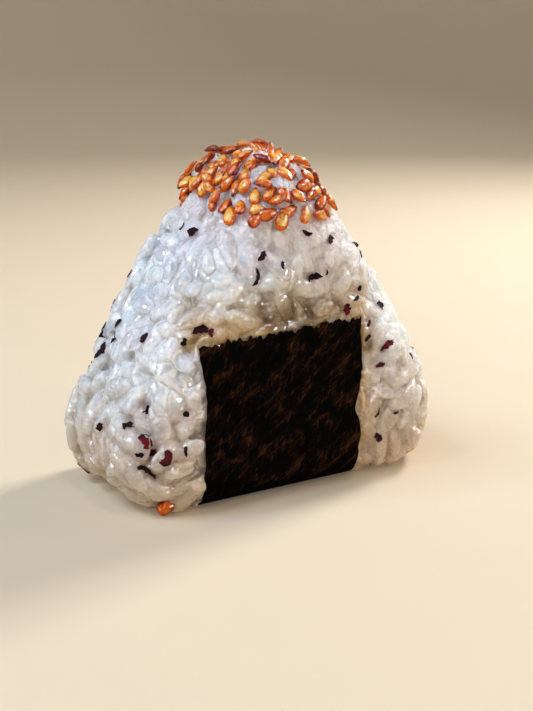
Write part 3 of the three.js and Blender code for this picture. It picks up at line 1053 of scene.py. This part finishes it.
# The flat sheet: x across it, from one cut end to the other along y.
rng = np.random.default_rng(31)
sheet = bmesh.new()
bmesh.ops.create_grid(sheet, x_segments=nori_columns, y_segments=nori_rows, size=1)
grid = np.array([vertex.co[:] for vertex in sheet.verts])
side = grid[:, 0]
round_base = np.abs(grid[:, 1])
back = grid[:, 1] > 0
level = grid * sheet_half
waver = waves(rng, 9 * MM)(level) + 0.5 * waves(rng, 2.5 * MM)(level)
x = nori_middle + side * nori_half + side_waver * waver * ramp(np.abs(side), edge_starts, 1)
front_height = np.maximum(-level[:, 1] - flat_half - turn_length, -turn_length) + base_edge
for nick_side, nick_height, depth, reach in side_nicks:
    nearness = np.exp(-(((front_height - nick_height * MM) / (reach * MM)) ** 2))
    nearness = nearness * (level[:, 1] < 0)
    x -= nick_side * depth * MM * nearness * ramp(side * nick_side, 0.85, 1)
flat_way = np.stack([x, np.where(back, 1.0, 0.0), np.zeros_like(x)], axis=1)
teeth = waves(rng, 0.9 * MM)(flat_way) + 0.8 * waves(rng, 3 * MM)(flat_way)

# The sheet bent round the form: flat under the base, a turn at each edge, and two legs.
up_leg = np.clip((round_base - turn_share) / (1 - turn_share), 0, 1)
leg_z = base_edge + up_leg * (nori_top(x, back) - base_edge)
leg_z = leg_z + tooth_height * teeth * ramp(up_leg, edge_starts, 1)
leg_y = half_thickness(x, leg_z)
lean = half_thickness(x, leg_z + 0.1 * MM) - half_thickness(x, leg_z - 0.1 * MM)
turn = np.clip((round_base - flat_share) / (turn_share - flat_share), 0, 1) * math.pi / 2
on_leg = round_base > turn_share
flat_y = np.clip(round_base / flat_share, 0, 1) * flat_half
y = np.where(on_leg, leg_y, flat_y + base_edge * np.sin(turn))
z = np.where(on_leg, leg_z, base_edge * (1 - np.cos(turn)))
out_y = np.where(on_leg, 1, np.sin(turn))
out_z = np.where(on_leg, -lean / (0.2 * MM), -np.cos(turn))
toward = np.where(back, 1, -1)
points = np.stack([x, toward * y, z], axis=1)
outs = unit(np.stack([np.zeros_like(x), toward * out_y, out_z], axis=1))
bumps = waves(rng, 6 * MM)(points) + 0.5 * waves(rng, 2.2 * MM)(points) - 0.6
points += outs * (bumps * nori_relief * ramp(points[:, 2], 0.5 * MM, 3 * MM))[:, None]
for vertex, point in zip(sheet.verts, points):
    vertex.co = point
bmesh.ops.recalc_face_normals(sheet, faces=sheet.faces)
nori_mesh = bpy.data.meshes.new("nori")
sheet.to_mesh(nori_mesh)
sheet.free()
sheet_places = np.stack([x, grid[:, 1] * sheet_half, np.zeros_like(x)], axis=1)
sheet_note = nori_mesh.attributes.new("sheet", "FLOAT_VECTOR", "POINT")
sheet_note.data.foreach_set("vector", sheet_places.ravel())
set_smooth(nori_mesh)
nori = put_in_scene("nori", nori_mesh)
wall = nori.modifiers.new("wall", "SOLIDIFY")
wall.thickness = nori_thickness
wall.offset = 1
apply_modifiers(nori)

toasted, shader, here = new_material("toasted nori")
on_sheet = here.noted("sheet", "Vector")


def fibres(turn, length, width):
    """Streaks this long and wide, turned from the sheet's width."""
    inputs = {"Vector": on_sheet, "Rotation": (0, 0, turn), "Scale": (length, width, 1)}
    turned = on_sheet.node("ShaderNodeMapping", 0, {"vector_type": "TEXTURE"}, inputs)
    return turned.noise(1, 5, 0.3)


long_fibres = fibres(-0.6, 6 * MM, 1.3 * MM)
cross_fibres = fibres(-1.35, 3 * MM, 0.7 * MM)
fine_fibres = fibres(-0.8, 1.0 * MM, 0.2 * MM)
brown = 0.55 * on_sheet.noise(300, 8, 0.5).between(0.3, 0.75)
brown = brown + 0.5 * long_fibres.between(0.4, 0.75) + 0.3 * cross_fibres.between(0.45, 0.75)
brown = brown * (0.6 + 0.7 * fine_fibres.between(0.35, 0.75))
# Painted shade: below 4 mm the brown fades to black where the sheet turns under the base.
fibres_and_base_shade = brown.between(0.25, 1.15) * here.upright().between(1.2 * MM, 4 * MM)
glints = on_sheet.noise(1500, 3).between(0.52, 0.66) * on_sheet.noise(130, 2).between(0.5, 0.62)
dress(
    shader,
    Base_Color=fibres_and_base_shade.blend(nori_black, nori_brown),
    Roughness=0.85 - 0.3 * glints,
    Normal=(brown + fine_fibres).bump(0.9, 0.15 * MM),
    Specular_IOR_Level=0.01,
)
nori.data.materials.append(toasted)
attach(nori, "root")
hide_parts("nori_strip")


# ---------------------------------------------------------------- table and light
# A plain pale table that curves up into its own backdrop all round, under soft lamps.
# The small lamps named shine light no surface: they only glint on what is wet.
bowl_profile = ((0, 0, 0), (0.6, 0, 0), (0.8, 0, 0.05), (0.92, 0, 0.18), (1.0, 0, 0.6))
bowl_steps = 64
table_colour = (0.70, 0.59, 0.44, 1)
table_glow = 0.12
room_colour = (1.0, 0.89, 0.78, 1)
room_strength = 0.08
lamp_target = Vector((0, 0, 25 * MM))
lamp_distance = 0.5
# Lamps: name, azimuth, elevation, size in metres, power in watts and colour.
lamps = (
    ("key", -100, 56, 0.2, 1.6, (0.66, 0.81, 1.0)),
    ("left", -88, 28, 0.035, 0.1, (0.85, 0.93, 1.0)),
    ("right", 104, 36, 0.11, 2.2, (1.0, 0.97, 0.95)),
    ("right_front", 70, 24, 0.035, 0.1, (1.0, 0.85, 0.65)),
    ("low_front", 3, 14, 0.045, 0.12, (1.0, 0.60, 0.30)),
    ("front", 32, 32, 0.045, 0.11, (1.0, 0.72, 0.45)),
    ("upper_front", 5, 50, 0.035, 0.08, (1.0, 0.85, 0.65)),
    ("front_left", -52, 30, 0.1, 0.26, (0.85, 0.93, 1.0)),
    ("top", -10, 75, 0.05, 0.2, (1.0, 0.97, 0.94)),
    ("shine_front", 34, 28, 0.08, 4.0, (1.0, 0.97, 0.94)),
    ("shine_right", 78, 42, 0.08, 4.0, (1.0, 0.97, 0.94)),
    ("shine_low", 0, 5, 0.08, 2.5, (1.0, 0.97, 0.94)),
    ("shine_corner", -54, 48, 0.08, 2.4, (0.97, 0.98, 1.0)),
    ("shine_left", -105, 30, 0.08, 4.0, (0.94, 0.97, 1.0)),
)

bowl = bmesh.new()
profile = [bowl.verts.new(place) for place in bowl_profile]
lines = [bowl.edges.new(pair) for pair in zip(profile, profile[1:])]
bmesh.ops.spin(
    bowl, geom=profile + lines, axis=(0, 0, 1), cent=(0, 0, 0),
    angle=2 * math.pi, steps=bowl_steps, use_merge=True,
)
bmesh.ops.remove_doubles(bowl, verts=bowl.verts, dist=0.0001)
table_mesh = bpy.data.meshes.new("table")
bowl.to_mesh(table_mesh)
bowl.free()
set_smooth(table_mesh)
table = put_in_scene("table", table_mesh)
pale, shader, _ = new_material("pale table")
dress(
    shader,
    Base_Color=table_colour,
    Roughness=0.6,
    Specular_IOR_Level=0.1,
    Emission_Color=table_colour,
    Emission_Strength=table_glow,
)
table_mesh.materials.append(pale)

world = bpy.data.worlds.new("studio")
bpy.context.scene.world = world
world.use_nodes = True
dress(world.node_tree.nodes["Background"], Color=room_colour, Strength=room_strength)

for name, azimuth, elevation, size, power, colour in lamps:
    light = bpy.data.lights.new(name, "AREA")
    light.size = size
    light.energy = power
    light.color = colour
    lamp = put_in_scene(name, light)
    lamp.visible_diffuse = not name.startswith("shine")
    way = direction_to(azimuth, elevation)
    lamp.location = lamp_target + way * lamp_distance
    lamp.rotation_euler = way.to_track_quat("Z", "Y").to_euler()

bpy.context.scene.view_settings.view_transform = "Standard"
